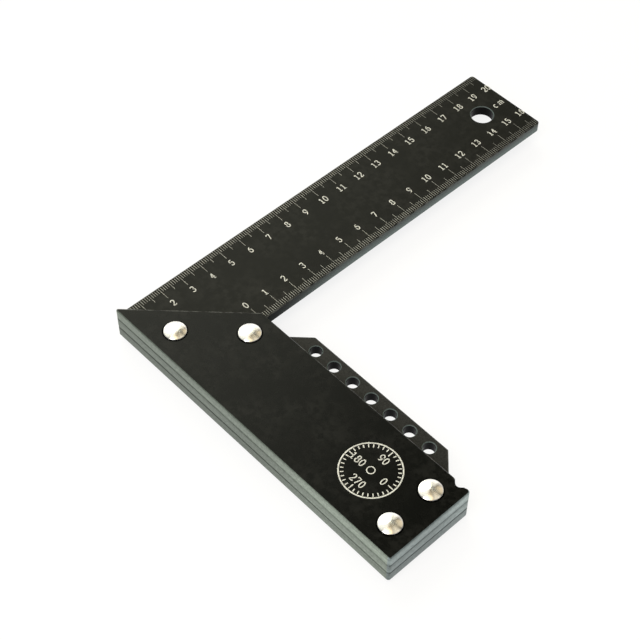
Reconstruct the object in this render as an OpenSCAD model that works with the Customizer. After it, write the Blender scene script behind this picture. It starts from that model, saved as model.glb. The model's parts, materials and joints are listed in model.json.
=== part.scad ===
// Woodworking square: a one-piece graduated plate with two riveted cheeks that form its stock.
// X runs along the stock, Y along the blade and Z up. The origin lies under the middle of the square,
// on the surface that it lies on.

/* [Blade] */
// Length of the blade, from the stock's outer face to its tip
blade_l = 200; // [150:5:400]
// Width of the blade
blade_w = 40; // [30:1:60]
// Radius of the two corners at the tip
tip_r = 1.5; // [0.6:0.1:5]
// Diameter of the hanging hole
hang_d = 9.8; // [5:0.1:14]
// Distance from the tip to the middle of the hanging hole
hang_inset = 15; // [10:0.5:30]

/* [Stock] */
// Length of the stock, from the blade's outer edge to its end
stock_l = 150; // [110:1:300]
// Width of the stock
stock_w = 40; // [32:1:60]
// Thickness of the plate that makes the blade, the stock's core and the flange
plate_t = 5; // [3:0.5:8]
// Thickness of each cheek
cheek_t = 5; // [3:0.5:8]
// Radius of the square's outer corner, its heel
heel_r = 2; // [0.7:0.1:4]
// Radius of the cheeks' sharp ends above and below the heel
mitre_r = 0.7; // [0.7:0.1:3]
// Radius of the stock's end corner and of the mitre's inner end
corner_r = 1; // [0.6:0.1:3]
// Radius in the inner corner between blade and stock
inner_r = 0.6; // [0.5:0.1:2]
// Chamfer that breaks the edges of the plates
edge_break = 0.4; // [0.1:0.05:0.5]
// Chamfer that breaks the rims of the open holes
rim_break = 0.3; // [0.1:0.05:0.5]

/* [Scribing flange] */
// How far the flange stands out from the stock's inner face
flange_w = 9.6; // [7:0.1:14]
// Plain length of the stock's inner face at each end of the flange
flange_gap = 10.2; // [10:0.1:20]
// Radius of the flange's corners
flange_r = 1; // [0.6:0.1:4]
// Radius at the foot of the flange's slopes
foot_r = 1; // [0.6:0.1:3]
// Diameter of the scribing holes
scribe_d = 5; // [2:0.1:6]
// Distance between neighbouring scribing holes
scribe_pitch = 10; // [7:0.5:20]
// Distance from the stock's inner face to the row of holes
scribe_line = 5.1; // [3.5:0.1:6]
// Least distance from the flange's corners to the first and last hole
scribe_margin = 5; // [3:0.5:15]

/* [Marking notch] */
// Width of the notch at the stock's inner face
notch_w = 5.6; // [5:0.1:6]
// Distance from the stock's end to the middle of the notch
notch_inset = 5; // [4.6:0.1:6]
// Radius at the bottom of the notch
notch_r = 1.8; // [0.6:0.1:1.8]
// Radius of the notch's shoulders
shoulder_r = 1.5; // [0.6:0.1:1.6]
// Radius of the stock's inner end corner
lobe_r = 1.3; // [0.6:0.1:1.5]

/* [Rivets] */
// Diameter of the rivet heads
head_d = 9; // [7:0.1:12]
// Height of a head's upright rim
rim_h = 0.4; // [0.2:0.05:1]
// Height of a head's dome above its rim
dome_h = 1; // [0.4:0.1:2]
// Outer diameter of the rivet tubes
shank_d = 5; // [4:0.1:6]
// Diameter of the rivet pins
pin_d = 3.2; // [2:0.1:3.6]
// Distance from the rivets to the stock's outer face, inner face and end
rivet_inset = 10; // [8:0.5:14]
// Distance along the stock from the mitre to the rivets beside it
mitre_inset = 14.5; // [10:0.5:25]
// Clearance on the diameter between the rivet tubes and the plates
hole_play = 0.1; // [0.05:0.05:0.3]
// Clearance on the diameter between a pin and its tube
press_play = 0.04; // [0.02:0.01:0.1]
// Gap left inside a rivet at the end of its tube and of its pin
end_gap = 0.5; // [0.2:0.1:1.5]

/* [Hidden] */
$fn = 64;
plate_colour = "#2b2b29";
rivet_colour = "#e4dfd6";

// How far a cutter runs past the face that it cuts
over = 0.1;
// How far a rounding's circle crosses the straight edges that it meets, so that the cut is clean
cross_over = 0.001;
// How far the broken edges of neighbouring stretches run into each other
lap = 0.2;
head_h = rim_h + dome_h;
stack_h = 2 * cheek_t + plate_t;
rear_z = head_h;
plate_z = rear_z + cheek_t;
front_z = plate_z + plate_t;
top_z = front_z + cheek_t;

notch_x = stock_l - notch_inset;
notch_half = notch_w / 2;
flange_from = blade_w + flange_gap;
flange_to = stock_l - flange_gap;
flat_l = flange_to - flange_from - 2 * flange_w;
scribe_n = floor((flat_l - 2 * scribe_margin) / scribe_pitch) + 1;
scribe_from = (flange_from + flange_to - (scribe_n - 1) * scribe_pitch) / 2;

// Middle of the rivet at the distance y from the outer face, beside the mitre
function by_mitre(y) = [y * blade_w / stock_w + mitre_inset, y];
rivets = [by_mitre(rivet_inset),
          by_mitre(stock_w - rivet_inset),
          [stock_l - rivet_inset, rivet_inset],
          [stock_l - rivet_inset, stock_w - rivet_inset]];

// Outlines run anticlockwise. Each point is a sharp corner with the radius that rounds it: [x, y, radius].
stock_end = [[stock_l, 0, corner_r],
             [stock_l, stock_w, lobe_r],
             [notch_x + notch_half, stock_w, shoulder_r],
             [notch_x, stock_w - notch_half, notch_r],
             [notch_x - notch_half, stock_w, shoulder_r]];
flange = [[flange_to, stock_w, foot_r],
          [flange_to - flange_w, stock_w + flange_w, flange_r],
          [flange_from + flange_w, stock_w + flange_w, flange_r],
          [flange_from, stock_w, foot_r]];
blade = [[blade_w, stock_w, inner_r],
         [blade_w, blade_l, tip_r],
         [0, blade_l, tip_r]];
plate_points = concat([[0, 0, heel_r]], stock_end, flange, blade);
cheek_points = concat([[0, 0, mitre_r]], stock_end, [[blade_w, stock_w, corner_r]]);

function unit(v) = v / norm(v);
function flat(p) = [p.x, p.y];

// A corner of an outline: the sharp point, the directions of the edges behind and ahead of it, its radius
// and whether it is convex
function corners(pts) =
    [for (n = len(pts), i = 0; i < n; i = i + 1)
        let (p = flat(pts[i]),
             back = unit(flat(pts[(i + n - 1) % n]) - p),
             ahead = unit(flat(pts[(i + 1) % n]) - p))
        [p, back, ahead, pts[i][2], cross(-back, ahead) > 0]];
function is_convex(c) = c[4];
function half_angle(c) = acos(c[1] * c[2]) / 2;
// Along each edge, from the sharp point to where the rounding starts
function reach(c) = c[3] / tan(half_angle(c));
// From the sharp point to the middle of the rounding
function middle(c) = unit(c[1] + c[2]) * c[3] / sin(half_angle(c));
function spoke_back(c) = unit(c[1] * reach(c) - middle(c));
function spoke_ahead(c) = unit(c[2] * reach(c) - middle(c));

// A corner's points before it is rounded. A concave one is filled up to the middle of its rounding.
function filled(c) =
    is_convex(c) ? [c[0]] : [c[0] + c[1] * reach(c), c[0] + middle(c), c[0] + c[2] * reach(c)];

// The kite between a rounding's middle and two lines at the distance r from it, widened along the edges
module kite(c, r, wider = 0) {
    m = middle(c);
    polygon([m + c[1] * wider, m + spoke_back(c) * r + c[1] * wider,
             m - unit(m) * r / sin(half_angle(c)),
             m + spoke_ahead(c) * r + c[2] * wider, m + c[2] * wider]);
}

module rounding_circle(c) {
    translate(middle(c)) circle(c[3] + cross_over);
}

module outline(pts) {
    difference() {
        polygon([for (c = corners(pts)) each filled(c)]);
        for (c = corners(pts))
            translate(c[0])
                if (is_convex(c))
                    difference() {
                        kite(c, c[3] + over);
                        rounding_circle(c);
                    }
                else
                    rounding_circle(c);
    }
}

// Cutter that breaks the straight edge between two corners of a plate of thickness t
module straight_break(from, to, t) {
    start = reach(from) - (is_convex(from) ? lap : 0);
    end = norm(to[0] - from[0]) - reach(to) + (is_convex(to) ? lap : 0);
    translate(from[0]) rotate(atan2(from[2].y, from[2].x)) translate([start, 0, t]) rotate([90, 0, 90])
        linear_extrude(end - start)
            polygon([[-over, -edge_break - over], [edge_break + over, over], [-over, over]]);
}

// Cutter that breaks the edge round one corner
module corner_break(c, t) {
    depth = edge_break + 2 * over;
    inward = is_convex(c) ? -1 : 1;
    lower_r = c[3] - inward * over + 2 * cross_over;
    upper_r = c[3] + inward * (edge_break + over) + 2 * cross_over;
    translate([c[0].x, c[0].y, t - edge_break - over])
        if (is_convex(c))
            difference() {
                linear_extrude(depth) kite(c, c[3] + over);
                translate(middle(c)) cylinder(h = depth, r1 = lower_r, r2 = upper_r);
            }
        else
            intersection() {
                linear_extrude(depth) kite(c, upper_r + over, lap);
                translate(middle(c)) cylinder(h = depth, r1 = lower_r, r2 = upper_r);
            }
}

module edge_breaks(pts, t) {
    all = corners(pts);
    for (i = [0 : len(all) - 1]) {
        straight_break(all[i], all[(i + 1) % len(all)], t);
        corner_break(all[i], t);
    }
}

// Does the same to the upper and the lower face of a plate of thickness t
module both_faces(t) {
    children();
    translate([0, 0, t]) mirror([0, 0, 1]) children();
}

module slab(pts, t) {
    difference() {
        linear_extrude(t) outline(pts);
        both_faces(t) edge_breaks(pts, t);
    }
}

// Cutter for a hole through a plate of thickness t with chamfered rims
module rimmed_hole(d, t) {
    translate([0, 0, -over]) cylinder(h = t + 2 * over, d = d);
    both_faces(t)
        translate([0, 0, t - rim_break - over])
            cylinder(h = rim_break + 2 * over, r1 = d / 2 - over, r2 = d / 2 + rim_break + over);
}

module rivet_holes(t) {
    for (p = rivets) translate([p.x, p.y, -over]) cylinder(h = t + 2 * over, d = shank_d + hole_play);
}

module body_plate() {
    color(plate_colour) translate([0, 0, plate_z])
        difference() {
            slab(plate_points, plate_t);
            rivet_holes(plate_t);
            translate([blade_w / 2, blade_l - hang_inset]) rimmed_hole(hang_d, plate_t);
            for (i = [0 : scribe_n - 1])
                translate([scribe_from + i * scribe_pitch, stock_w + scribe_line])
                    rimmed_hole(scribe_d, plate_t);
        }
}

module cheek() {
    color(plate_colour)
        difference() {
            slab(cheek_points, cheek_t);
            rivet_holes(cheek_t);
        }
}

module front_cheek() {
    translate([0, 0, front_z]) cheek();
}

module rear_cheek() {
    translate([0, 0, rear_z]) cheek();
}

// Low-domed rivet head that sits on the plane z = 0
module rivet_head() {
    dome_r = (pow(head_d / 2, 2) + pow(dome_h, 2)) / (2 * dome_h);
    intersection() {
        cylinder(h = head_h, d = head_d);
        translate([0, 0, head_h - dome_r]) sphere(dome_r);
    }
}

// Front half of a rivet: a head with the pin that is pressed into the tube
module rivet_pin() {
    color(rivet_colour) translate([0, 0, top_z]) {
        rivet_head();
        translate([0, 0, end_gap - stack_h]) cylinder(h = stack_h - end_gap, d = pin_d);
    }
}

// Rear half of a rivet: a head with the tube that passes through the three plates
module rivet_tube() {
    color(rivet_colour) translate([0, 0, rear_z]) {
        mirror([0, 0, 1]) rivet_head();
        difference() {
            cylinder(h = stack_h - end_gap, d = shank_d);
            cylinder(h = stack_h, d = pin_d + press_play);
        }
    }
}

// Puts the square's outer corner where the origin asks for it
module in_frame() {
    translate([-stock_l / 2, -blade_l / 2, 0]) children();
}

in_frame() body_plate();
in_frame() front_cheek();
in_frame() rear_cheek();
for (i = [0 : len(rivets) - 1]) {
    in_frame() translate(rivets[i]) rivet_pin();
    in_frame() translate(rivets[i]) rivet_tube();
}
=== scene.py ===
"""Looks of a riveted carpenter square: coated plates, printed scale and dial, rivets and a white studio."""

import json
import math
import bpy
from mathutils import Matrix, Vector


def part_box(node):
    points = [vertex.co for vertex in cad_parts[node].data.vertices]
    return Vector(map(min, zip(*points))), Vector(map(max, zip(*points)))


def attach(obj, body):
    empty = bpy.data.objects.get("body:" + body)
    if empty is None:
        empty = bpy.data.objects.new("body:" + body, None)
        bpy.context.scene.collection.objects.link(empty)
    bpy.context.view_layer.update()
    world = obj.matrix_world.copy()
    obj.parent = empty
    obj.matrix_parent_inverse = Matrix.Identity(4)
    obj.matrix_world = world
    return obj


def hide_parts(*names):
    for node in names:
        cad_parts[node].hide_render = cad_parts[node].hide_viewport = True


bl_info = {
    "name": "Carpenter square looks",
    "version": (1, 0, 0),
    "blender": (4, 5, 0),
    "location": "View3D > Sidebar > Square",
    "description": "Finishes, printed scale, rivets and studio of a riveted carpenter square",
    "category": "Object",
}

import bpy
from bpy.props import FloatProperty, FloatVectorProperty, IntProperty, PointerProperty
from mathutils import Matrix, Vector

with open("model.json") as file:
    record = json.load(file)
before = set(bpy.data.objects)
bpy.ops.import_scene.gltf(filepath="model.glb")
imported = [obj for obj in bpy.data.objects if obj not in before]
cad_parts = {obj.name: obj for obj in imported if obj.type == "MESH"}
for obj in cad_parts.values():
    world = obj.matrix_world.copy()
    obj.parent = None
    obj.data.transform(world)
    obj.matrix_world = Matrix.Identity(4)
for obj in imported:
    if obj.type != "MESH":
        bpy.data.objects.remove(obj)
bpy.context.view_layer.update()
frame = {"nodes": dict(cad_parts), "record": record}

MM = 0.001
BODY = "root"
SETTINGS = "carpenter_square"
CHEEK_NODES = ("front_cheek", "rear_cheek")
PIN_NODES = sorted(name for name in frame["nodes"] if name.startswith("rivet_pin"))
TUBE_NODES = sorted(name for name in frame["nodes"] if name.startswith("rivet_tube"))

PLATE_LOW, PLATE_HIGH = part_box("body_plate")
CHEEK_LOW, CHEEK_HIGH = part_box("front_cheek")
REAR_LOW, REAR_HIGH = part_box("rear_cheek")
MOUNTS = {mount["name"]: mount for mount in frame["record"]["mounts"]}
HANG_HOLE = Vector(MOUNTS["hang_hole"]["pos_m"])
SCRIBING_HOLES = sorted((Vector(mount["pos_m"]) for name, mount in MOUNTS.items()
                         if name.startswith("scribing")), key=lambda place: place.x)

# The square's outer corner on the face that carries the scale
OUTER_CORNER = Vector((PLATE_LOW.x, PLATE_LOW.y, PLATE_HIGH.z))
STOCK_WIDTH = CHEEK_HIGH.y - CHEEK_LOW.y
BLADE_LENGTH = PLATE_HIGH.y - PLATE_LOW.y
# The hanging hole lies midway between the blade's edges
BLADE_WIDTH = 2 * (HANG_HOLE.x - PLATE_LOW.x)

PIN_LOW, PIN_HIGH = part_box(PIN_NODES[0])
TUBE_LOW, TUBE_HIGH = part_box(TUBE_NODES[0])
# Every rivet head has the same radius, and a rivet's pin and tube share their axis
HEAD_RADIUS = (PIN_HIGH.x - PIN_LOW.x) / 2
RIVET_AXES = [sum(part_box(node), Vector()) / 2 for node in PIN_NODES]
# Where the cheeks' slanted edge lies: no other place of a cheek has more Y less X
MITRE = max(vertex.co.y - vertex.co.x for vertex in frame["nodes"]["front_cheek"].data.vertices)
# Attribute that carries each rivet's own coordinates to its material
TURNED_PLACE = "turned_place"

# How level a surface is where a plate's face ends, and where its upright side starts
FACE_END = (0.95, 0.85)
SIDE_START = (0.45, 0.3)

# Sizes of the patterns in the coat, on the ground sides, in the print and on the rivets
CLOUDS = 14 * MM
FLECKS = 2.5 * MM
BLOTCHES = 1.3 * MM
GRINDING = 0.45 * MM
THIN_SPOTS = 0.8 * MM
TURNING = 0.12 * MM
DENTS = 1.4 * MM

# Distances from a rivet head, over which the painted shade round it fades, and from the cheeks' slanted edge,
# over which its wear and painted highlight fade
RIVET_SHADE_REACH = (0.75 * MM, 0.25 * MM)
MITRE_WEAR_AND_HIGHLIGHT = (1.1 * MM, 0.7 * MM)
# Length of the blade's sides that lies in the shade of the stock
STOCK_SHADE = 50 * MM
# Where the ground outer side, along X, and the ground end, from the outer side on, grow lighter with painted
# light
SIDE_PAINTED_LIGHT = (0.0, 45 * MM)
END_PAINTED_LIGHT = (18 * MM, 36 * MM)
# Width of the edge of a rivet head that is darkened by painted shade
HEAD_SHADE_EDGE = 0.3 * MM

# How far a mask keeps clear of the edge beside it
MARGIN = 1 * MM
# Places closer than this are one place
TOUCHING = 0.001 * MM
# Bends sharper than these are rounded in a figure's stroke, and stay crisp on a rivet
SHARP_BEND = math.radians(30)
CRISP_EDGE = math.radians(35)

# Brightness of the ground sides through the stock, from its underside to its top: painted light that changes
# with height, with painted shade as a dark line at each seam
GROUND_PAINTED_LIGHT = ((0.0, 0.22), (0.2, 0.24), (0.285, 0.21), (0.315, 0.13), (0.345, 0.21), (0.42, 0.29),
                (0.56, 0.26), (0.63, 0.24), (0.655, 0.21), (0.69, 0.28), (0.77, 0.38), (0.92, 0.33),
                (0.97, 0.3), (1.0, 0.18))

# Brightness of the studio by height of the direction, from the horizon to straight above
SKY_LEVELS = ((0.0, 1.0), (0.3, 0.95), (0.5, 0.15), (0.6, 0.03), (1.0, 0.03))

# Soft panels of the studio: direction, angles at which each starts and stops fading, and light
PANELS = (((-0.67, 0.31, 0.67), 7, 24, (4.8, 4.85, 4.1)),
          ((-0.56, -0.05, 0.83), 14, 28, (1.1, 1.1, 1.0)),
          ((0.053, 0.753, 0.656), 10, 18, (0.75, 0.64, 0.43)),
          ((-0.348, 0.683, 0.643), 3, 7.5, (0.75, 0.74, 0.66)),
          ((0.15, 0.41, 0.9), 5, 13, (0.55, 0.48, 0.34)),
          ((0.464, 0.187, 0.866), 9, 17, (0.8, 0.74, 0.6)),
          ((0.445, 0.445, 0.777), 4, 11, (0.8, 0.75, 0.62)),
          ((0.166, 0.198, 0.966), 4, 12, (0.5, 0.46, 0.36)),
          ((-0.53, 0.74, 0.41), 9, 16, (0.7, 0.69, 0.61)),
          ((-0.27, 0.8, 0.54), 3, 20, (0.13, 0.09, 0.03)),
          ((0.1, -0.25, 0.96), 8, 24, (1.85, 1.55, 1.05)),
          ((-0.15, 0.2, 0.97), 5, 20, (0.18, 0.13, 0.06)))


def length(name, description, millimetres):
    """A length that a user may change."""
    return FloatProperty(name=name, description=description, default=millimetres * MM,
                         unit="LENGTH", precision=5, min=0.0)


def share(name, description, default):
    """A number from 0 to 1 that a user may change."""
    return FloatProperty(name=name, description=description, default=default,
                         subtype="FACTOR", min=0.0, max=1.0)


def colour(name, description, default):
    """A colour that a user may change."""
    return FloatVectorProperty(name=name, description=description, default=default,
                               subtype="COLOR", size=3, min=0.0, max=1.0)


def spot(name, description, default):
    """A place in the studio that a user may change."""
    return FloatVectorProperty(name=name, description=description, default=default,
                               subtype="TRANSLATION", unit="LENGTH", size=3)


class CoatSettings(bpy.types.PropertyGroup):
    """Finish of the three plates."""
    cheek_dark: colour("Cheek coat", "Colour of the cheeks' coat", (0.0016, 0.0018, 0.0012))
    cheek_bloom: colour("Cheek bloom", "Colour of the cheeks' coat where it is greyer",
                        (0.008, 0.008, 0.0068))
    plate_dark: colour("Plate coat", "Colour of the body plate's coat", (0.0085, 0.0087, 0.007))
    plate_bloom: colour("Plate bloom", "Colour of the body plate's coat where it is greyer",
                        (0.016, 0.016, 0.0136))
    flange: colour("Flange", "Colour of the body plate's coat on the scribing flange", (0.024, 0.024, 0.022))
    # Partly real wear, partly painted highlight: the chamfered edges and the cheeks' slanted edge turn
    # lighter with this colour
    worn: colour("Worn edge", "Colour of the coat along its rubbed edges", (0.09, 0.092, 0.086))
    # Painted reflection: the body plate's upright sides grow from the upper colour to the lighter lower
    # colour towards their foot; the cheeks keep the upper colour
    edge_high: colour("Upper side", "Colour of the coat at the top of the upright sides",
                      (0.009, 0.02, 0.018))
    edge_low: colour("Lower side", "Colour of the coat at the foot of the blade's sides",
                     (0.086, 0.126, 0.122))
    # Painted highlight: the chamfered rims of the holes are lighter than the coat
    rim: colour("Hole rims", "Colour of the chamfered rims of the holes", (0.1, 0.125, 0.12))
    # Painted shade: the walls of the holes are darker than the coat round them
    bore: colour("Bores", "Colour inside the holes", (0.002, 0.0022, 0.0022))
    # Painted reflection: the outer side and the end of the same ground metal take different tints
    outer_tint: colour("Outer side", "Tint of the stock's ground outer side", (0.86, 1.0, 0.83))
    end_tint: colour("End side", "Tint of the stock's ground end", (0.84, 1.0, 0.98))
    cheek_gloss: share("Cheek roughness", "Roughness of the cheeks' coat", 0.2)
    plate_gloss: share("Plate roughness", "Roughness of the body plate's coat", 0.22)
    cheek_sheen: share("Cheek sheen", "Strength of the reflections on the cheeks' faces", 0.07)
    plate_sheen: share("Plate sheen", "Strength of the reflections on the body plate's faces", 0.045)
    ground_gloss: share("Ground roughness", "Roughness of the ground sides", 0.42)
    grain: length("Grain", "Size of the coat's grain", 0.35)
    ground_reach: length("Ground reach", "Depth of the ground skin on the stock's outer side and end", 1.2)
    bore_reach: length("Bore reach", "Distance round a hole's wall that takes the look of the hole", 0.6)


class ScaleSettings(bpy.types.PropertyGroup):
    """Printed scale on the blade."""
    ink: colour("Mark", "Colour of the printed figures", (0.67, 0.67, 0.605))
    tick_ink: colour("Tick mark", "Colour of the printed ticks", (0.44, 0.44, 0.39))
    tick_fade: share("Tick fade", "Brightness of the ticks at the blade's tip", 0.5)
    mark_height: length("Mark height", "How far the print stands above the coat", 0.012)
    zero: length("Zero", "Distance from the stock's faces to the zeros of the two scales", 0.74)
    tick_width: length("Tick width", "Width of a tick", 0.14)
    edge_gap: length("Edge gap", "Distance from the blade's edges to the ticks", 0.5)
    tip_gap: length("Tip gap", "Least distance from the blade's tip to the last tick", 0.8)
    outer_short: length("Outer millimetre", "Reach of a millimetre tick of the outer scale", 2.6)
    outer_middle: length("Outer half", "Reach of a five-millimetre tick of the outer scale", 4.55)
    outer_long: length("Outer centimetre", "Reach of a centimetre tick of the outer scale", 6.45)
    inner_short: length("Inner millimetre", "Reach of a millimetre tick of the inner scale", 2.5)
    inner_middle: length("Inner half", "Reach of a five-millimetre tick of the inner scale", 4.55)
    inner_long: length("Inner centimetre", "Reach of a centimetre tick of the inner scale", 6.65)
    outer_first: IntProperty(name="First outer tick", description="First tick clear of the cheek", default=4)
    stroke: length("Stroke", "Width of the figures' strokes", 0.42)
    figure_height: length("Figure height", "Height of a figure", 2.78)
    figure_width: length("Figure width", "Width of a figure", 1.62)
    figure_step: length("Figure step", "Distance between the figures of a number", 2.1)
    unit_step: length("Unit step", "Distance between the letters of the unit", 3.2)
    unit_gap: length("Unit gap", "Distance from the hanging hole to the unit", 9.8)
    outer_line: length("Outer figures", "Distance from the outer edge to the outer figures' middle", 10.0)
    inner_line: length("Inner figures", "Distance from the outer edge to the inner figures' middle", 30.1)
    inner_back: length("Inner back", "Distance by which the inner figures stand back from their ticks", 0.35)
    crowd_from: length("Crowding start", "Place on the blade from which figures move back", 172.0)
    crowd: length("Crowding", "How far the last figure moves back from the tip", 2.7)


class DialSettings(bpy.types.PropertyGroup):
    """Printed dial on the stock."""
    inset: length("Dial inset", "Distance from the stock's end to the middle of the dial", 30.3)
    shift: length("Dial shift", "Distance from the stock's middle line to the middle of the dial", 0.5)
    radius: length("Dial radius", "Radius of the middle of the dial's ring", 11.6)
    ring: length("Ring width", "Width of the dial's ring", 0.55)
    hub: length("Hub radius", "Radius of the ring in the middle of the dial", 1.5)
    count: IntProperty(name="Ticks", description="Ticks round the dial", default=36, min=4)
    every: IntProperty(name="Long ticks", description="One tick in so many is long", default=9, min=1)
    short: length("Short tick", "Reach of a short tick", 1.3)
    long: length("Long tick", "Reach of a long tick", 2.4)
    tick: length("Dial tick width", "Width of the dial's ticks", 0.4)
    figure_line: length("Dial figures", "Distance from the middle of the dial to its numbers", 6.5)
    figure_size: FloatProperty(name="Dial figure size", default=1.05, min=0.1,
                               description="Size of the dial's numbers beside the scale's")


class RivetSettings(bpy.types.PropertyGroup):
    """Turned metal of the rivets."""
    metal: colour("Metal", "Colour of the rivets", (0.93, 0.91, 0.87))
    roughness: share("Roughness", "Roughness of the turned metal", 0.19)
    brushing: share("Brushing", "How strongly the turning stretches the highlights", 0.85)
    rim: length("Rim height", "Height of a head's upright rim", 0.4)
    rim_round: length("Rim rounding", "Reach of the rounding between rim and dome", 0.15)
    shank: length("Tube diameter", "Outer diameter of the rivet tubes", 5.0)
    pin: length("Pin diameter", "Diameter of the rivet pins", 3.2)
    play: length("Pin play", "Clearance on the diameter between pin and tube", 0.04)
    segments: IntProperty(name="Segments", description="Faces round a rivet", default=72, min=12)


class StudioSettings(bpy.types.PropertyGroup):
    """Camera, light and floor."""
    camera_place: spot("Camera place", "Where the camera stands", (0.25141, -0.30156, 0.48076))
    camera_aim: spot("Camera aim", "Point that the camera looks at", (-0.01998, -0.04345, 0.0114))
    camera_roll: FloatProperty(name="Camera roll", description="Turn of the camera about its view",
                               default=math.radians(0.52), unit="ROTATION")
    lens: FloatProperty(name="Lens", description="Focal length on a 36 mm frame", default=87.79,
                        unit="CAMERA")
    floor_size: length("Floor size", "Side of the floor", 6000.0)
    floor_white: share("Floor white", "Lightness of the floor", 0.95)
    floor_glow: share("Floor glow", "Share of the floor that is seen as plain white", 0.85)
    key_place: spot("Key place", "Where the soft lamp hangs", (0.1, -0.75, 0.9))
    key_power: FloatProperty(name="Key light", description="Power of the soft lamp", default=7.0,
                             unit="POWER")
    key_size: length("Key size", "Side of the soft lamp", 600.0)


class SquareSettings(bpy.types.PropertyGroup):
    """Everything that a user may change on the square."""
    coat: PointerProperty(type=CoatSettings)
    scale: PointerProperty(type=ScaleSettings)
    dial: PointerProperty(type=DialSettings)
    rivet: PointerProperty(type=RivetSettings)
    studio: PointerProperty(type=StudioSettings)


def settings(context):
    """The scene's settings of the square."""
    return getattr(context.scene, SETTINGS)


def add_node(tree, kind, inputs=None, **options):
    """Adds a node, sets its options, and sets or links its inputs by name or number."""
    node = tree.nodes.new(kind)
    for key, value in options.items():
        setattr(node, key, value)
    for key, value in (inputs or {}).items():
        if isinstance(value, bpy.types.NodeSocket):
            tree.links.new(value, node.inputs[key])
        else:
            node.inputs[key].default_value = value
    return node


def maths(tree, operation, *values):
    """Result of one sum on numbers or sockets."""
    return add_node(tree, "ShaderNodeMath", dict(enumerate(values)), operation=operation).outputs[0]


def product(tree, first, *others):
    """All the given numbers or sockets multiplied."""
    for other in others:
        first = maths(tree, "MULTIPLY", first, other)
    return first


def ramp(tree, value, start, end, low=0.0, high=1.0, way="SMOOTHSTEP"):
    """Step of a value from low, at start, to high, at end."""
    node = add_node(tree, "ShaderNodeMapRange", {"Value": value, "From Min": start, "From Max": end,
                                                 "To Min": low, "To Max": high}, interpolation_type=way)
    return node.outputs[0]


def graded(tree, value, stops):
    """Grey level of a value from 0 to 1 along a list of stops."""
    node = add_node(tree, "ShaderNodeValToRGB", {0: value})
    elements = node.color_ramp.elements
    while len(elements) < len(stops):
        elements.new(1.0)
    for element, (place, level) in zip(elements, stops):
        element.position = place
        element.color = (level, level, level, 1.0)
    return node.outputs[0]


def blend_colours(tree, factor, first, second, way="MIX"):
    """Mix of two colours or colour sockets."""
    return add_node(tree, "ShaderNodeMix", {0: factor, 6: first, 7: second},
                    data_type="RGBA", blend_type=way).outputs[2]


def blend(tree, factor, first, second):
    """Mix of two numbers or sockets."""
    return add_node(tree, "ShaderNodeMix", {0: factor, 2: first, 3: second}).outputs[0]


def rgba(rgb):
    """An opaque colour for a socket."""
    return (*rgb, 1.0)


def noise(tree, place, size, detail=2.0):
    """Cloudy pattern with features of about the given size in metres."""
    return add_node(tree, "ShaderNodeTexNoise",
                    {"Vector": place, "Scale": 1.0 / size, "Detail": detail}).outputs[0]


def varied(tree, pattern, amount):
    """Factor that follows a cloudy pattern, by up to the amount below and above one."""
    return ramp(tree, pattern, 0.3, 0.7, 1.0 - amount, 1.0 + amount)


def distance(tree, x, y):
    """Length of a flat vector given by two sockets."""
    flat_place = add_node(tree, "ShaderNodeCombineXYZ", {0: x, 1: y}).outputs[0]
    return add_node(tree, "ShaderNodeVectorMath", {0: flat_place}, operation="LENGTH").outputs["Value"]


def distance_from(tree, x, y, axis):
    """Distance of a place from an upright axis."""
    return distance(tree, maths(tree, "SUBTRACT", x, axis.x), maths(tree, "SUBTRACT", y, axis.y))


def new_material(name):
    """An empty node material with its shader."""
    material = bpy.data.materials.new(name)
    material.use_nodes = True
    shader = material.node_tree.nodes["Principled BSDF"]
    return material, material.node_tree, shader


def hole_mask(tree, coat, x, y):
    """One round the hanging hole and the row of scribing holes, nought elsewhere."""
    pitch = (SCRIBING_HOLES[-1].x - SCRIBING_HOLES[0].x) / (len(SCRIBING_HOLES) - 1)
    from_first = maths(tree, "SUBTRACT", x, SCRIBING_HOLES[0].x)
    nearest = maths(tree, "ROUND", maths(tree, "DIVIDE", from_first, pitch))
    nearest = maths(tree, "MINIMUM", maths(tree, "MAXIMUM", nearest, 0.0), len(SCRIBING_HOLES) - 1.0)
    along_row = maths(tree, "SUBTRACT", from_first, maths(tree, "MULTIPLY", nearest, pitch))
    across_row = maths(tree, "SUBTRACT", y, SCRIBING_HOLES[0].y)
    small = MOUNTS["scribing_hole_1"]["dims"]["r_mm"] * MM + coat.bore_reach
    by_row = maths(tree, "LESS_THAN", distance(tree, along_row, across_row), small)
    large = MOUNTS["hang_hole"]["dims"]["r_mm"] * MM + coat.bore_reach
    by_hang = maths(tree, "LESS_THAN", distance_from(tree, x, y, HANG_HOLE), large)
    return maths(tree, "MAXIMUM", by_row, by_hang)


def rivet_mask(tree, x, y):
    """One close round the heads of the rivets, nought elsewhere: where painted shade darkens the coat."""
    nearest = distance_from(tree, x, y, RIVET_AXES[0])
    for axis in RIVET_AXES[1:]:
        nearest = maths(tree, "MINIMUM", nearest, distance_from(tree, x, y, axis))
    return ramp(tree, nearest, *(HEAD_RADIUS + gap for gap in RIVET_SHADE_REACH))


def mitre_mask(tree, x, y, z):
    """One along the slanted edge of the cheeks, nought elsewhere: where wear and a painted highlight lighten
    the coat.
    """
    behind = maths(tree, "SUBTRACT", MITRE, maths(tree, "SUBTRACT", y, x))
    height = maths(tree, "ABSOLUTE", maths(tree, "SUBTRACT", z, (PLATE_LOW.z + PLATE_HIGH.z) / 2))
    on_cheek = maths(tree, "GREATER_THAN", height, (PLATE_HIGH.z - PLATE_LOW.z) / 2 + MARGIN)
    return product(tree, ramp(tree, behind, *MITRE_WEAR_AND_HIGHLIGHT), on_cheek)


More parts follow.
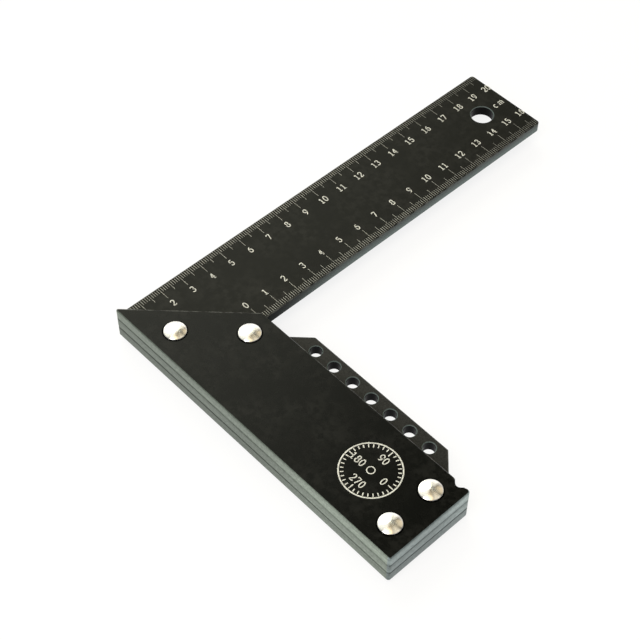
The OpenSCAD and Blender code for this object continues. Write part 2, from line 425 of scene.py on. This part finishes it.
def plate_coat(name, coat, dark, bloom, low, gloss, sheen):
    """Satin black coat with a fine grain, worn edges that also carry a painted highlight, bores and rivet
    surroundings darkened by painted shade, upright sides with a painted reflection, and bare ground sides on
    the stock whose tones are painted light.
    """
    material, tree, shader = new_material(name)
    place = add_node(tree, "ShaderNodeTexCoord").outputs["Object"]
    x, y, z = add_node(tree, "ShaderNodeSeparateXYZ", {0: place}).outputs
    normal = add_node(tree, "ShaderNodeNewGeometry").outputs["True Normal"]
    level = maths(tree, "ABSOLUTE", add_node(tree, "ShaderNodeSeparateXYZ", {0: normal}).outputs[2])
    off_face = ramp(tree, level, *FACE_END)
    upright = ramp(tree, level, *SIDE_START)
    broken_edge = maths(tree, "SUBTRACT", off_face, upright)
    near_hole = hole_mask(tree, coat, x, y)

    grain = noise(tree, place, coat.grain)
    cloud = ramp(tree, noise(tree, place, CLOUDS, 3.0), 0.3, 0.7)
    flecks = noise(tree, place, FLECKS, 4.0)
    mottled = product(tree, cloud, ramp(tree, flecks, 0.35, 0.65), maths(tree, "ADD", grain, 0.5))
    surface = blend_colours(tree, mottled, rgba(dark), rgba(bloom))
    off_blade = maths(tree, "GREATER_THAN", x, PLATE_LOW.x + BLADE_WIDTH + MARGIN)
    on_flange = product(tree, maths(tree, "GREATER_THAN", y, CHEEK_HIGH.y), off_blade)
    flange = blend_colours(tree, 1.0, rgba(coat.flange), varied(tree, grain, 0.3), "MULTIPLY")
    surface = blend_colours(tree, on_flange, surface, flange)

    # Wear and painted highlight: the chamfered edges and the cheeks' slanted edge turn lighter in broken
    # spots
    edges = maths(tree, "MAXIMUM", broken_edge, mitre_mask(tree, x, y, z))
    rubbed_and_highlight = product(tree, edges, ramp(tree, flecks, 0.38, 0.62, 0.15, 1.0))
    surface = blend_colours(tree, rubbed_and_highlight, surface, rgba(coat.worn))
    # Painted shade: the coat round each rivet head is darkened nearly to black
    painted_rivet_shade = rivet_mask(tree, x, y)
    surface = blend_colours(tree, product(tree, painted_rivet_shade, 0.85), surface, (0.0, 0.0, 0.0, 1.0))
    # Painted reflection: the upright sides grow lighter towards their foot; painted shade darkens the blade's
    # sides near the stock and the stock's own sides
    foot = ramp(tree, z, PLATE_HIGH.z, PLATE_LOW.z)
    side = blend_colours(tree, foot, rgba(coat.edge_high), rgba(low))
    painted_stock_shade = maths(tree, "MAXIMUM", ramp(tree, y, CHEEK_HIGH.y, CHEEK_HIGH.y + STOCK_SHADE, 0.1, 1.0),
                     maths(tree, "MULTIPLY", off_blade, 0.6))
    surface = blend_colours(tree, upright, surface, blend_colours(tree, 1.0, side, painted_stock_shade, "MULTIPLY"))
    # Painted highlight on the chamfered rims of the holes
    surface = blend_colours(tree, product(tree, near_hole, broken_edge), surface, rgba(coat.rim))
    # Painted shade: the walls of the holes turn nearly black
    bore_shade_mask = product(tree, near_hole, upright)
    surface = blend_colours(tree, bore_shade_mask, surface, rgba(coat.bore))

    by_end = maths(tree, "GREATER_THAN", x, PLATE_HIGH.x - coat.ground_reach)
    by_outer_side = maths(tree, "LESS_THAN", y, PLATE_LOW.y + coat.ground_reach)
    ground = product(tree, maths(tree, "MAXIMUM", by_outer_side, by_end), off_face)
    stretched = add_node(tree, "ShaderNodeMapping",
                         {"Vector": place, "Scale": (0.004, 0.004, 1.0)}).outputs[0]
    lines = noise(tree, stretched, GRINDING, 3.0)
    # Painted light: the ground sides' brightness follows their height and their place along the stock, with
    # painted shade at the seams
    painted_light_and_tone = graded(tree, ramp(tree, z, REAR_LOW.z, CHEEK_HIGH.z, way="LINEAR"), GROUND_PAINTED_LIGHT)
    painted_light_along_end = ramp(tree, y, *(CHEEK_LOW.y + reach for reach in END_PAINTED_LIGHT), 0.86, 1.08)
    along = blend(tree, by_end, ramp(tree, x, *SIDE_PAINTED_LIGHT, 0.7, 1.0), painted_light_along_end)
    blotches = varied(tree, noise(tree, place, BLOTCHES, 3.0), 0.14)
    streaks_and_painted_light = product(tree, varied(tree, lines, 0.18), along, blotches, varied(tree, grain, 0.16))
    tint = blend_colours(tree, by_end, rgba(coat.outer_tint), rgba(coat.end_tint))
    metal = blend_colours(tree, 1.0, tint, painted_light_and_tone, "MULTIPLY")
    metal = blend_colours(tree, 1.0, metal, streaks_and_painted_light, "MULTIPLY")
    surface = blend_colours(tree, ground, surface, metal)

    rough_coat = maths(tree, "MULTIPLY_ADD", grain, 0.1, gloss - 0.05)
    height = blend(tree, ground, grain, lines)
    bump = add_node(tree, "ShaderNodeBump", {"Height": height, "Strength": 0.12, "Distance": 0.02 * MM})
    tree.links.new(surface, shader.inputs["Base Color"])
    tree.links.new(ground, shader.inputs["Metallic"])
    tree.links.new(blend(tree, ground, rough_coat, coat.ground_gloss), shader.inputs["Roughness"])
    # Weaker reflections in the bores and on the sides by the stock, as part of their painted shade
    shine = blend(tree, bore_shade_mask, blend(tree, upright, sheen, product(tree, painted_stock_shade, 0.25)), 0.05)
    # Painted shade: the coat round each rivet head loses its reflections
    shine = blend(tree, painted_rivet_shade, shine, 0.0)
    tree.links.new(shine, shader.inputs["Specular IOR Level"])
    tree.links.new(bump.outputs[0], shader.inputs["Normal"])
    return material


def mark_ink(name, ink, fade=1.0):
    """Pale matt print with small thin spots, which may fade towards the blade's tip."""
    material, tree, shader = new_material(name)
    place = add_node(tree, "ShaderNodeTexCoord").outputs["Object"]
    y = add_node(tree, "ShaderNodeSeparateXYZ", {0: place}).outputs[1]
    thin = ramp(tree, noise(tree, place, THIN_SPOTS, 3.0), 0.35, 0.6)
    shade = tuple(0.7 * channel for channel in ink)
    print_colour = blend_colours(tree, thin, rgba(shade), rgba(ink))
    left = ramp(tree, y, PLATE_HIGH.y - BLADE_LENGTH / 2, PLATE_HIGH.y, 1.0, fade)
    tree.links.new(blend_colours(tree, 1.0, print_colour, left, "MULTIPLY"), shader.inputs["Base Color"])
    tree.links.new(ramp(tree, thin, 0.0, 1.0, 0.7, 0.55), shader.inputs["Roughness"])
    return material


def turned_metal(rivet):
    """Bright metal turned in fine circles round each rivet's axis, with painted shade at the edge of each
    head.
    """
    material, tree, shader = new_material("turned_metal")
    place = add_node(tree, "ShaderNodeAttribute", attribute_name=TURNED_PLACE).outputs["Vector"]
    x, y, z = add_node(tree, "ShaderNodeSeparateXYZ", {0: place}).outputs
    radius = distance(tree, x, y)
    rings = noise(tree, add_node(tree, "ShaderNodeCombineXYZ", {0: radius, 1: z}).outputs[0], TURNING, 3.0)
    spots = noise(tree, place, DENTS, 4.0)
    # Painted shade: each head darkens towards its edge
    rim = ramp(tree, radius, HEAD_RADIUS - HEAD_SHADE_EDGE, HEAD_RADIUS, 1.0, 0.8)
    painted_light_and_tone = product(tree, ramp(tree, rings, 0.25, 0.75, 0.93, 1.0), ramp(tree, spots, 0.3, 0.7, 0.95, 1.0),
                   rim)
    shade = tuple(0.1 * channel for channel in rivet.metal)
    tree.links.new(blend_colours(tree, painted_light_and_tone, rgba(shade), rgba(rivet.metal)), shader.inputs["Base Color"])
    outwards = add_node(tree, "ShaderNodeCombineXYZ", {0: x, 1: y}).outputs[0]
    tree.links.new(outwards, shader.inputs["Tangent"])
    rough = ramp(tree, rings, 0.2, 0.8, rivet.roughness - 0.06, rivet.roughness + 0.06)
    tree.links.new(rough, shader.inputs["Roughness"])
    dents = add_node(tree, "ShaderNodeBump", {"Height": spots, "Strength": 0.3, "Distance": 0.06 * MM})
    bump = add_node(tree, "ShaderNodeBump", {"Height": rings, "Strength": 0.15, "Distance": 0.01 * MM,
                                             "Normal": dents.outputs[0]})
    tree.links.new(bump.outputs[0], shader.inputs["Normal"])
    shader.inputs["Metallic"].default_value = 1.0
    shader.inputs["Anisotropic"].default_value = rivet.brushing
    return material


def new_piece(name, vertices=(), edges=()):
    """A mesh object at the origin, made of points and lines for a node tree to work on."""
    mesh = bpy.data.meshes.new(name)
    mesh.from_pydata(list(vertices), list(edges), [])
    piece = bpy.data.objects.new(name, mesh)
    bpy.context.scene.collection.objects.link(piece)
    return piece


def new_tree(name, inputs):
    """A geometry tree with a geometry input, the named number inputs, and a geometry output."""
    tree = bpy.data.node_groups.new(name, "GeometryNodeTree")
    tree.interface.new_socket("Geometry", in_out="INPUT", socket_type="NodeSocketGeometry")
    for label in inputs:
        tree.interface.new_socket(label, in_out="INPUT", socket_type="NodeSocketFloat")
    tree.interface.new_socket("Geometry", in_out="OUTPUT", socket_type="NodeSocketGeometry")
    return tree, tree.nodes.new("NodeGroupInput").outputs


def end_tree(tree, geometry, material):
    """Realizes the instances, gives them their material and ends the tree."""
    realized = add_node(tree, "GeometryNodeRealizeInstances", {0: geometry}).outputs[0]
    finished = add_node(tree, "GeometryNodeSetMaterial", {"Geometry": realized, "Material": material})
    add_node(tree, "NodeGroupOutput", {0: finished.outputs[0]})


def grow(piece, tree, values):
    """Runs a tree on a piece with the given inputs and keeps the result as the piece's plain mesh."""
    modifier = piece.modifiers.new(tree.name, "NODES")
    modifier.node_group = tree
    for socket in tree.interface.items_tree:
        if socket.in_out == "INPUT" and socket.name in values:
            modifier[socket.identifier] = values[socket.name]
    depsgraph = bpy.context.evaluated_depsgraph_get()
    mesh = bpy.data.meshes.new_from_object(piece.evaluated_get(depsgraph), preserve_all_data_layers=True,
                                           depsgraph=depsgraph)
    piece.modifiers.clear()
    bare, piece.data = piece.data, mesh
    mesh.name = piece.name
    bpy.data.meshes.remove(bare)
    if not mesh.polygons:
        raise RuntimeError(piece.name + " came out empty")
    return piece


def carry(piece, slot, *nodes):
    """Lets a finished piece ride on the square, in the place of CAD nodes. The slot is not used."""
    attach(piece, BODY)
    if nodes:
        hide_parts(*nodes)


def every_so_many(tree, number, every, plain, special):
    """The special value where a number is a multiple of every, and the plain value elsewhere."""
    whole = maths(tree, "COMPARE", maths(tree, "MODULO", number, every), 0.0, 0.1)
    return add_node(tree, "GeometryNodeSwitch", {"Switch": whole, "False": plain, "True": special},
                    input_type="FLOAT").outputs[0]


def tick_block(tree, shift):
    """A block of unit size, shifted along X from its middle."""
    block = add_node(tree, "GeometryNodeMeshCube", {"Size": (1.0, 1.0, 1.0)}).outputs[0]
    return add_node(tree, "GeometryNodeTransform",
                    {"Geometry": block, "Translation": (shift, 0.0, 0.0)}).outputs[0]


def tick_tree(material):
    """A row of ticks along +Y, whose reach follows the millimetre, half and whole centimetre."""
    tree, given = new_tree("tick_row", ("Edge", "Start", "Top", "First", "Count", "Pitch", "Width", "Height",
                                        "Short", "Middle", "Long", "Turn"))
    start = add_node(tree, "ShaderNodeCombineXYZ", {0: given["Edge"], 1: given["Start"], 2: given["Top"]})
    step = add_node(tree, "ShaderNodeCombineXYZ", {1: given["Pitch"]})
    row = add_node(tree, "GeometryNodeMeshLine", {"Count": given["Count"], "Start Location": start.outputs[0],
                                                  "Offset": step.outputs[0]})
    number = maths(tree, "ADD", add_node(tree, "GeometryNodeInputIndex").outputs[0], given["First"])
    reach = every_so_many(tree, number, 5.0, given["Short"], given["Middle"])
    reach = every_so_many(tree, number, 10.0, reach, given["Long"])
    size = add_node(tree, "ShaderNodeCombineXYZ", {0: reach, 1: given["Width"], 2: given["Height"]})
    turn = add_node(tree, "ShaderNodeCombineXYZ", {2: given["Turn"]})
    ticks = add_node(tree, "GeometryNodeInstanceOnPoints", {
        "Points": row.outputs[0], "Instance": tick_block(tree, 0.5),
        "Rotation": turn.outputs[0], "Scale": size.outputs[0]})
    end_tree(tree, ticks.outputs[0], material)
    return tree


def flat_stroke(tree, path, width, height):
    """Level strokes of one width along curves."""
    level = add_node(tree, "GeometryNodeSetCurveNormal", {0: path}, mode="Z_UP").outputs[0]
    section = add_node(tree, "GeometryNodeCurvePrimitiveQuadrilateral", {"Width": width, "Height": height})
    return add_node(tree, "GeometryNodeCurveToMesh",
                    {"Curve": level, "Profile Curve": section.outputs[0], "Fill Caps": True}).outputs[0]


def stroke_tree(material):
    """Flat strokes of one width along the lines of a piece."""
    tree, given = new_tree("flat_strokes", ("Width", "Height"))
    path = add_node(tree, "GeometryNodeMeshToCurve", {0: given["Geometry"]}).outputs[0]
    end_tree(tree, flat_stroke(tree, path, given["Width"], given["Height"]), material)
    return tree


def dial_tree(material):
    """A ring with a row of ticks inside it and a small ring in its middle, on each point of a piece."""
    tree, given = new_tree("dial", ("Radius", "Hub", "Ring", "Height", "Count", "Every", "Short", "Long",
                                    "Tick"))
    marks = add_node(tree, "GeometryNodeJoinGeometry")
    for radius, width in ((given["Radius"], given["Ring"]), (given["Hub"], given["Tick"])):
        circle = add_node(tree, "GeometryNodeCurvePrimitiveCircle", {"Resolution": 96, "Radius": radius})
        tree.links.new(flat_stroke(tree, circle.outputs[0], width, given["Height"]), marks.inputs[0])
    inside = maths(tree, "SUBTRACT", given["Radius"], given["Ring"])
    points = add_node(tree, "GeometryNodeMeshCircle", {"Vertices": given["Count"], "Radius": inside})
    number = add_node(tree, "GeometryNodeInputIndex").outputs[0]
    reach = every_so_many(tree, number, given["Every"], given["Short"], given["Long"])
    size = add_node(tree, "ShaderNodeCombineXYZ", {0: reach, 1: given["Tick"], 2: given["Height"]})
    step = maths(tree, "DIVIDE", 2 * math.pi, given["Count"])
    turn = add_node(tree, "ShaderNodeCombineXYZ", {2: maths(tree, "MULTIPLY", number, step)})
    ticks = add_node(tree, "GeometryNodeInstanceOnPoints", {
        "Points": points.outputs[0], "Instance": tick_block(tree, -0.5),
        "Rotation": turn.outputs[0], "Scale": size.outputs[0]})
    tree.links.new(ticks.outputs[0], marks.inputs[0])
    dials = add_node(tree, "GeometryNodeInstanceOnPoints",
                     {"Points": given["Geometry"], "Instance": marks.outputs[0]})
    end_tree(tree, dials.outputs[0], material)
    return tree


def lathe_tree(material):
    """Turns the line of a piece about an upright axis and sets the result on the piece's loose points."""
    tree, given = new_tree("turned_on_points", ("Segments", "Arbor"))
    on_line = add_node(tree, "GeometryNodeInputMeshVertexNeighbors").outputs["Vertex Count"]
    split = add_node(tree, "GeometryNodeSeparateGeometry",
                     {"Geometry": given["Geometry"], "Selection": on_line})
    section = add_node(tree, "GeometryNodeMeshToCurve", {0: split.outputs["Selection"]}).outputs[0]
    circle = add_node(tree, "GeometryNodeCurvePrimitiveCircle",
                      {"Resolution": given["Segments"], "Radius": given["Arbor"]}).outputs[0]
    level = add_node(tree, "GeometryNodeSetCurveNormal", {0: circle}, mode="Z_UP").outputs[0]
    swept = add_node(tree, "GeometryNodeCurveToMesh", {"Curve": level, "Profile Curve": section}).outputs[0]
    closed = add_node(tree, "GeometryNodeMergeByDistance",
                      {"Geometry": swept, "Distance": TOUCHING}).outputs[0]
    smooth = add_node(tree, "GeometryNodeSetShadeSmooth", {"Geometry": closed}).outputs[0]
    bend = add_node(tree, "GeometryNodeInputMeshEdgeAngle").outputs["Unsigned Angle"]
    crisp = add_node(tree, "GeometryNodeSetShadeSmooth", {
        "Geometry": smooth, "Selection": maths(tree, "GREATER_THAN", bend, CRISP_EDGE),
        "Shade Smooth": False}, domain="EDGE").outputs[0]
    place = add_node(tree, "GeometryNodeInputPosition").outputs[0]
    marked = add_node(tree, "GeometryNodeStoreNamedAttribute",
                      {"Geometry": crisp, "Name": TURNED_PLACE, "Value": place}, data_type="FLOAT_VECTOR")
    rivets = add_node(tree, "GeometryNodeInstanceOnPoints",
                      {"Points": split.outputs["Inverted"], "Instance": marked.outputs[0]})
    end_tree(tree, rivets.outputs[0], material)
    return tree


def softened(points, index, reach, steps=5):
    """The line with one of its corners rounded over the given reach."""
    corner = Vector(points[index])
    into = corner + (Vector(points[index - 1]) - corner).normalized() * reach
    out = corner + (Vector(points[index + 1]) - corner).normalized() * reach
    bend = []
    for i in range(steps + 1):
        t = i / steps
        bend.append(into.lerp(corner, t).lerp(corner.lerp(out, t), t))
    return points[:index] + bend + points[index + 1:]


def eased(points, reach):
    """The line with each of its sharp corners rounded."""
    for index in range(len(points) - 2, 0, -1):
        before = Vector(points[index]) - Vector(points[index - 1])
        after = Vector(points[index + 1]) - Vector(points[index])
        if before.angle(after) > SHARP_BEND:
            points = softened(points, index, min(reach, before.length / 2, after.length / 2))
    return points


def arc(x, y, across, up, start, end, steps=14):
    """Points along part of an ellipse, in a figure's own box."""
    turns = [math.radians(start + (end - start) * i / steps) for i in range(steps + 1)]
    return [(x + across * math.cos(t), y + up * math.sin(t)) for t in turns]


def half_turned(strokes):
    """The strokes of a figure turned upside down in its box."""
    return [[(1.0 - x, 1.0 - y) for x, y in stroke] for stroke in strokes]


SIX = [arc(0.5, 0.31, 0.42, 0.31, 0, 360, 24), arc(0.9, 0.34, 0.82, 0.66, 102, 180)]
# Strokes of each figure in a box of width 1 and height 1
FIGURES = {
    "0": [arc(0.5, 0.5, 0.42, 0.5, 90, 450, 24)],
    "1": [[(0.16, 0.8), (0.5, 1.0), (0.5, 0.0)], [(0.14, 0.0), (0.86, 0.0)]],
    "2": [arc(0.5, 0.72, 0.4, 0.28, 170, -35) + [(0.08, 0.0), (0.92, 0.0), (0.92, 0.16)]],
    "3": [arc(0.47, 0.76, 0.38, 0.24, 155, -90) + arc(0.47, 0.26, 0.44, 0.26, 90, -155)[1:]],
    "4": [[(0.7, 0.0), (0.7, 1.0), (0.06, 0.3), (0.96, 0.3)], [(0.48, 0.0), (0.92, 0.0)]],
    "5": [[(0.86, 1.0), (0.2, 1.0), (0.16, 0.54)] + arc(0.48, 0.32, 0.44, 0.32, 135, -155)],
    "6": SIX,
    "7": [[(0.1, 0.84), (0.1, 1.0), (0.92, 1.0), (0.4, 0.0)]],
    "8": [arc(0.5, 0.76, 0.34, 0.24, -90, 270, 24), arc(0.5, 0.26, 0.43, 0.26, 90, 450, 24)],
    "9": half_turned(SIX),
    "c": [arc(0.5, 0.36, 0.42, 0.36, 50, 310)],
    "m": [[(-0.1, 0.0), (-0.1, 0.72)], arc(0.2, 0.44, 0.3, 0.28, 180, 0) + [(0.5, 0.0)],
          arc(0.8, 0.44, 0.3, 0.28, 180, 0) + [(1.1, 0.0)]],
}


def written(text, scale, middle, along, up, size=1.0, step=None):
    """Strokes of a line of figures, centred on a point of the face, along and up two directions."""
    step = size * (step or scale.figure_step)
    across, high = along * (size * scale.figure_width), up * (size * scale.figure_height)
    strokes = []
    for i, letter in enumerate(text):
        foot = middle + along * ((i - (len(text) - 1) / 2) * step) - across / 2 - high / 2
        for stroke in FIGURES[letter]:
            strokes.append(eased([foot + across * x + high * y for x, y in stroke], scale.stroke))
    return strokes


def stroke_piece(name, strokes, scale, tree):
    """One piece from a list of strokes. A stroke that ends at its start is a closed loop."""
    points, lines = [], []
    for stroke in strokes:
        first = len(points)
        looped = (stroke[0] - stroke[-1]).length < TOUCHING
        points += stroke[:-1] if looped else stroke
        lines += [(i, i + 1) for i in range(first, len(points) - 1)]
        if looped:
            lines.append((len(points) - 1, first))
    return grow(new_piece(name, points, lines), tree,
                {"Width": scale.stroke, "Height": 2 * scale.mark_height})


class SQUARE_OT_coat_plates(bpy.types.Operator):
    """Coats the body plate and the two cheeks"""
    bl_idname = "square.coat_plates"
    bl_label = "Coat the plates"

    def execute(self, context):
        coat = settings(context).coat
        cheek_coat = plate_coat("cheek_coat", coat, coat.cheek_dark, coat.cheek_bloom, coat.edge_high,
                                coat.cheek_gloss, coat.cheek_sheen)
        body_coat = plate_coat("body_coat", coat, coat.plate_dark, coat.plate_bloom, coat.edge_low,
                               coat.plate_gloss, coat.plate_sheen)
        for name, finish in (("body_plate", body_coat), *((cheek, cheek_coat) for cheek in CHEEK_NODES)):
            plate = frame["nodes"][name]
            plate.data.materials.clear()
            plate.data.materials.append(finish)
        return {"FINISHED"}


class SQUARE_OT_print_ticks(bpy.types.Operator):
    """Prints the millimetre ticks along both edges of the blade"""
    bl_idname = "square.print_ticks"
    bl_label = "Print the ticks"

    def execute(self, context):
        scale = settings(context).scale
        tree = tick_tree(mark_ink("tick_print", scale.tick_ink, scale.tick_fade))
        pitch = 1 * MM
        shared = {"Top": OUTER_CORNER.z, "Pitch": pitch, "Width": scale.tick_width,
                  "Height": 2 * scale.mark_height}
        last = BLADE_LENGTH - scale.tip_gap
        outer_zero, inner_zero = scale.zero, STOCK_WIDTH + scale.zero
        outer = grow(new_piece("outer_ticks"), tree, {
            **shared, "Edge": OUTER_CORNER.x + scale.edge_gap, "Turn": 0.0,
            "Start": OUTER_CORNER.y + outer_zero + scale.outer_first * pitch,
            "First": float(scale.outer_first),
            "Count": float(math.floor((last - outer_zero) / pitch) - scale.outer_first + 1),
            "Short": scale.outer_short, "Middle": scale.outer_middle, "Long": scale.outer_long})
        inner = grow(new_piece("inner_ticks"), tree, {
            **shared, "Edge": OUTER_CORNER.x + BLADE_WIDTH - scale.edge_gap, "Turn": math.pi,
            "Start": OUTER_CORNER.y + inner_zero, "First": 0.0,
            "Count": float(math.floor((last - inner_zero) / pitch) + 1),
            "Short": scale.inner_short, "Middle": scale.inner_middle, "Long": scale.inner_long})
        for piece in (outer, inner):
            carry(piece, "anodised_plate")
        return {"FINISHED"}


class SQUARE_OT_print_figures(bpy.types.Operator):
    """Prints the centimetre figures and the unit on the blade"""
    bl_idname = "square.print_figures"
    bl_label = "Print the figures"

    def execute(self, context):
        scale = settings(context).scale
        along, up = Vector((0, 1, 0)), Vector((-1, 0, 0))
        strokes = []
        for line, zero, numbers in ((scale.outer_line, 0.0, range(2, 21)),
                                    (scale.inner_line, STOCK_WIDTH - scale.inner_back, range(0, 17))):
            for number in numbers:
                place = zero + number * 10 * MM
                near_tip = max(0.0, place - scale.crowd_from) / (BLADE_LENGTH - scale.crowd_from)
                place += scale.zero - scale.crowd * near_tip ** 2
                strokes += written(str(number), scale, OUTER_CORNER + Vector((line, place, 0)), along, up)
        unit = Vector((HANG_HOLE.x, HANG_HOLE.y + scale.unit_gap, OUTER_CORNER.z))
        strokes += written("cm", scale, unit, along, up, step=scale.unit_step)
        tree = stroke_tree(mark_ink("figure_print", scale.ink))
        carry(stroke_piece("scale_figures", strokes, scale, tree), "anodised_plate")
        return {"FINISHED"}


class SQUARE_OT_print_dial(bpy.types.Operator):
    """Prints a plain dial with its numbers on the stock"""
    bl_idname = "square.print_dial"
    bl_label = "Print the dial"

    def execute(self, context):
        scale, dial = settings(context).scale, settings(context).dial
        ink = mark_ink("dial_print", scale.ink)
        middle_line = (CHEEK_LOW.y + CHEEK_HIGH.y) / 2
        middle = Vector((CHEEK_HIGH.x - dial.inset, middle_line + dial.shift, CHEEK_HIGH.z))
        marks = grow(new_piece("dial_marks", [middle]), dial_tree(ink), {
            "Radius": dial.radius, "Hub": dial.hub, "Ring": dial.ring, "Height": 2 * scale.mark_height,
            "Count": float(dial.count), "Every": float(dial.every),
            "Short": dial.short, "Long": dial.long, "Tick": dial.tick})
        along, up = Vector((1, 0, 0)), Vector((0, 1, 0))
        strokes = []
        for i, number in enumerate(("0", "90", "180", "270")):
            turn = math.radians(90 * i)
            place = middle + (along * math.cos(turn) + up * math.sin(turn)) * dial.figure_line
            strokes += written(number, scale, place, along, up, size=dial.figure_size)
        figures = stroke_piece("dial_figures", strokes, scale, stroke_tree(ink))
        for piece in (marks, figures):
            carry(piece, "anodised_plate")
        return {"FINISHED"}


def head_line(rivet, radius, height, steps=12):
    """Radius and height, over the plate, of a head's outline from the pole down to the plate."""
    rise = height - rivet.rim
    dome = (radius ** 2 + rise ** 2) / (2 * rise)
    sweep = math.asin(radius / dome)
    line = [(dome * math.sin(sweep * i / steps), height - dome * (1 - math.cos(sweep * i / steps)))
            for i in range(steps + 1)]
    return softened(line + [(radius, 0.0)], steps, rivet.rim_round)


class SQUARE_OT_set_rivets(bpy.types.Operator):
    """Sets the pins and the tubes of the four turned rivets"""
    bl_idname = "square.set_rivets"
    bl_label = "Set the rivets"

    def execute(self, context):
        rivet = settings(context).rivet
        tree = lathe_tree(turned_metal(rivet))
        front, rear = CHEEK_HIGH.z, REAR_LOW.z
        pin, bore, shank = rivet.pin / 2, (rivet.pin + rivet.play) / 2, rivet.shank / 2
        front_head = [(r, front + z) for r, z in head_line(rivet, HEAD_RADIUS, PIN_HIGH.z - front)]
        rear_head = [(r, rear - z) for r, z in reversed(head_line(rivet, HEAD_RADIUS, rear - TUBE_LOW.z))]
        pin_line = front_head + [(pin, front), (pin, PIN_LOW.z), (0.0, PIN_LOW.z)]
        tube_line = [(0.0, rear), (bore, rear), (bore, TUBE_HIGH.z), (shank, TUBE_HIGH.z), (shank, rear)]
        tube_line += rear_head
        seats = [(axis.x, axis.y, 0.0) for axis in RIVET_AXES]
        for name, line, nodes in (("rivet_pins", pin_line, PIN_NODES),
                                  ("rivet_tubes", tube_line, TUBE_NODES)):
            # The tree turns the line round a circle of the pin's radius
            section = [(r - pin, -z, 0.0) for r, z in line]
            piece = new_piece(name, section + seats, [(i, i + 1) for i in range(len(section) - 1)])
            grow(piece, tree, {"Segments": float(rivet.segments), "Arbor": pin})
            carry(piece, "rivet_metal", *nodes)
        return {"FINISHED"}


def studio_floor(studio):
    """White matt floor that keeps a faint shadow for the camera and for reflections."""
    material = bpy.data.materials.new("studio_white")
    material.use_nodes = True
    tree = material.node_tree
    tree.nodes.clear()
    ray = add_node(tree, "ShaderNodeLightPath").outputs
    seen = maths(tree, "MAXIMUM", ray["Is Camera Ray"],
                 maths(tree, "MAXIMUM", ray["Is Glossy Ray"], ray["Is Transmission Ray"]))
    glow_share = maths(tree, "MULTIPLY", seen, studio.floor_glow)
    matt = add_node(tree, "ShaderNodeBsdfDiffuse", {"Color": rgba((studio.floor_white,) * 3)})
    glow = add_node(tree, "ShaderNodeEmission", {"Color": (1.0, 1.0, 1.0, 1.0), "Strength": 1.0})
    both = add_node(tree, "ShaderNodeMixShader", {0: glow_share, 1: matt.outputs[0], 2: glow.outputs[0]})
    add_node(tree, "ShaderNodeOutputMaterial", {0: both.outputs[0]})
    return material


def studio_sky():
    """White horizon under a dark ceiling, with soft panels."""
    world = bpy.data.worlds.new("studio_sky")
    world.use_nodes = True
    tree = world.node_tree
    tree.nodes.clear()
    direction = add_node(tree, "ShaderNodeTexCoord").outputs["Generated"]
    height = add_node(tree, "ShaderNodeSeparateXYZ", {0: direction}).outputs[2]
    light = graded(tree, height, SKY_LEVELS)
    for aim, inner, outer, strength in PANELS:
        along = add_node(tree, "ShaderNodeVectorMath", {0: direction, 1: Vector(aim).normalized()},
                         operation="DOT_PRODUCT").outputs["Value"]
        panel = ramp(tree, along, math.cos(math.radians(outer)), math.cos(math.radians(inner)))
        light = blend_colours(tree, panel, light, rgba(strength), "ADD")
    sky = add_node(tree, "ShaderNodeBackground", {"Color": light, "Strength": 1.0})
    add_node(tree, "ShaderNodeOutputWorld", {0: sky.outputs[0]})
    return world


def looking(place, aim):
    """Placement of a lamp or camera that looks from one point to another, with its top upwards."""
    turn = (aim - place).to_track_quat("-Z", "Y")
    return Matrix.LocRotScale(place, turn, None)


class SQUARE_OT_build_studio(bpy.types.Operator):
    """Builds the floor, the light and the camera"""
    bl_idname = "square.build_studio"
    bl_label = "Build the studio"

    def execute(self, context):
        studio = settings(context).studio
        scene = context.scene
        half = studio.floor_size / 2
        corners = [(-half, -half, 0), (half, -half, 0), (half, half, 0), (-half, half, 0)]
        mesh = bpy.data.meshes.new("studio_floor")
        mesh.from_pydata(corners, [], [(0, 1, 2, 3)])
        mesh.materials.append(studio_floor(studio))
        floor = bpy.data.objects.new("studio_floor", mesh)
        scene.collection.objects.link(floor)
        scene.world = studio_sky()

        lamp = bpy.data.lights.new("soft_key", "AREA")
        lamp.energy = studio.key_power
        lamp.size = studio.key_size
        key = bpy.data.objects.new("soft_key", lamp)
        key.matrix_world = looking(Vector(studio.key_place), Vector((0, 0, 0)))
        scene.collection.objects.link(key)

        lens = bpy.data.cameras.new("front_camera")
        lens.lens = studio.lens
        lens.sensor_width = 36.0
        camera = bpy.data.objects.new("front_camera", lens)
        camera.matrix_world = (looking(Vector(studio.camera_place), Vector(studio.camera_aim))
                               @ Matrix.Rotation(studio.camera_roll, 4, "Z"))
        scene.collection.objects.link(camera)
        scene.camera = camera
        scene.view_settings.view_transform = "Standard"
        return {"FINISHED"}


class SQUARE_PT_panel(bpy.types.Panel):
    """Lists the steps that dress the square"""
    bl_idname = "SQUARE_PT_panel"
    bl_label = "Carpenter square"
    bl_space_type = "VIEW_3D"
    bl_region_type = "UI"
    bl_category = "Square"

    def draw(self, context):
        for step in STEPS:
            self.layout.operator(step.bl_idname)


STEPS = (SQUARE_OT_coat_plates, SQUARE_OT_print_ticks, SQUARE_OT_print_figures, SQUARE_OT_print_dial,
         SQUARE_OT_set_rivets, SQUARE_OT_build_studio)
CLASSES = (CoatSettings, ScaleSettings, DialSettings, RivetSettings, StudioSettings, SquareSettings,
           *STEPS, SQUARE_PT_panel)


def register():
    for cls in CLASSES:
        bpy.utils.register_class(cls)
    setattr(bpy.types.Scene, SETTINGS, PointerProperty(type=SquareSettings))


def unregister():
    delattr(bpy.types.Scene, SETTINGS)
    for cls in reversed(CLASSES):
        bpy.utils.unregister_class(cls)


def main():
    register()
    bpy.ops.square.coat_plates()
    bpy.ops.square.print_ticks()
    bpy.ops.square.print_figures()
    bpy.ops.square.print_dial()
    bpy.ops.square.set_rivets()
    bpy.ops.square.build_studio()


if __name__ == "__main__":
    main()
